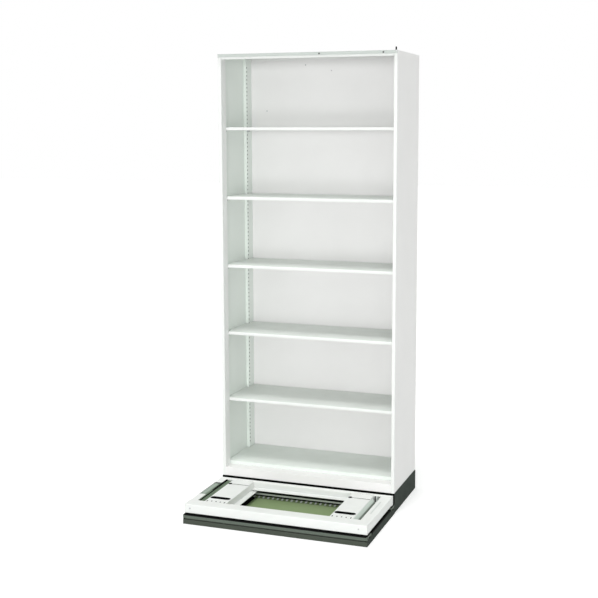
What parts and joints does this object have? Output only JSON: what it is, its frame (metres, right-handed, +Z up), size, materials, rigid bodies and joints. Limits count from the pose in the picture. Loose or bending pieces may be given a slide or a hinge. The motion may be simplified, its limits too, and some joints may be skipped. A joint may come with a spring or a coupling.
{
  "type": "sliding double bookcase module",
  "caption": "Tall open steel bookcase with adjustable shelves on a plinth, with a low rail base in front whose flat wheeled carriage slides sideways to carry a second bookcase.",
  "frame": {"origin": "on the floor, at the centre of the footprint", "axes": "+X along the bookcase's width to the viewer's right, +Y from the open front to the back, +Z up"},
  "size_m": [0.906, 0.85, 2.215],
  "materials": {
    "case_white": "fine satin powder coat",
    "guide_paint": "satin light grey",
    "carriage_white": "fine satin powder coat",
    "base_grey": "satin dark grey powder coat",
    "floor_olive": "matt olive grey paint",
    "rail_grey": "satin grey, bare at the ends",
    "zinc_steel": "zinc plated",
    "screw_steel": "dark plated",
    "bright_steel": "turned and polished",
    "stop_black": "matt black",
    "wheel_plastic": "matt dark nylon"
  },
  "bodies": {
    "bookcase": {"back_panel": "case_white", "base_floor": "floor_olive", "base_side_left": "base_grey", "base_side_right": "base_grey", "case_bolts": "zinc_steel", "deck_panel": "case_white", "end_stop_cap": "stop_black", "end_stop_pin": "bright_steel", "floor_joists": "base_grey", "front_kick": "base_grey", "front_post_left": "case_white", "front_post_right": "case_white", "front_rail": "rail_grey", "guide_rail_back": "guide_paint", "guide_rail_lower_lip": "guide_paint", "guide_rail_screws": "screw_steel", "guide_rail_upper_lip": "guide_paint", "levelling_brackets": "zinc_steel", "levelling_feet": "zinc_steel", "plinth_front_wall": "base_grey", "plinth_rear_wall": "base_grey", "plinth_side_left": "base_grey", "plinth_side_right": "base_grey", "rail_screws": "screw_steel", "rear_post_left": "case_white", "rear_post_right": "case_white", "rear_rail": "rail_grey", "shelf_clips": "zinc_steel", "side_panel_left": "case_white", "side_panel_right": "case_white", "toe_fascia": "case_white", "top_panel": "case_white"},
    "carriage": {"bearing_block_left_front": "zinc_steel", "bearing_block_left_rear": "zinc_steel", "bearing_block_right_front": "zinc_steel", "bearing_block_right_rear": "zinc_steel", "carriage_front_beam": "carriage_white", "carriage_rear_beam": "carriage_white", "carriage_rear_tab": "zinc_steel", "carriage_side_left": "carriage_white", "carriage_side_right": "carriage_white", "cover_plate_left": "carriage_white", "cover_plate_right": "carriage_white", "cross_member_left": "carriage_white", "cross_member_right": "carriage_white", "fascia_screws": "screw_steel"},
    "wheelset_left": {"axle_left": "bright_steel", "axle_rings_left": "bright_steel", "wheel_left_front": "wheel_plastic", "wheel_left_rear": "wheel_plastic"},
    "wheelset_right": {"axle_right": "bright_steel", "axle_rings_right": "bright_steel", "wheel_right_front": "wheel_plastic", "wheel_right_rear": "wheel_plastic"},
    "shelf_1": {"shelf_1": "case_white"},
    "shelf_2": {"shelf_2": "case_white"},
    "shelf_3": {"shelf_3": "case_white"},
    "shelf_4": {"shelf_4": "case_white"},
    "shelf_5": {"shelf_5": "case_white"}
  },
  "joints": [
    {"name": "carriage_slide", "type": "slide", "parent": "bookcase", "child": "carriage", "axis": [1, 0, 0], "range_m": [-0.1, 0]},
    {"name": "wheelset_left_roll", "type": "hinge", "parent": "carriage", "child": "wheelset_left", "pos_m": [-0.3205, -0.1925, 0.0653], "axis": [0, 1, 0], "range_deg": [-290, 0]},
    {"name": "wheelset_right_roll", "type": "hinge", "parent": "carriage", "child": "wheelset_right", "pos_m": [0.3055, -0.1925, 0.0653], "axis": [0, 1, 0], "range_deg": [-290, 0]},
    {"name": "shelf_1_lift", "type": "slide", "parent": "bookcase", "child": "shelf_1", "axis": [0, 0, 1], "range_m": [0, 0.012]},
    {"name": "shelf_2_lift", "type": "slide", "parent": "bookcase", "child": "shelf_2", "axis": [0, 0, 1], "range_m": [0, 0.012]},
    {"name": "shelf_3_lift", "type": "slide", "parent": "bookcase", "child": "shelf_3", "axis": [0, 0, 1], "range_m": [0, 0.012]},
    {"name": "shelf_4_lift", "type": "slide", "parent": "bookcase", "child": "shelf_4", "axis": [0, 0, 1], "range_m": [0, 0.012]},
    {"name": "shelf_5_lift", "type": "slide", "parent": "bookcase", "child": "shelf_5", "axis": [0, 0, 1], "range_m": [0, 0.012]}
  ],
  "couplings": [
    {"joint": "wheelset_left_roll", "follows": "carriage_slide", "rad_per_m": 50},
    {"joint": "wheelset_right_roll", "follows": "carriage_slide", "rad_per_m": 50}
  ]
}
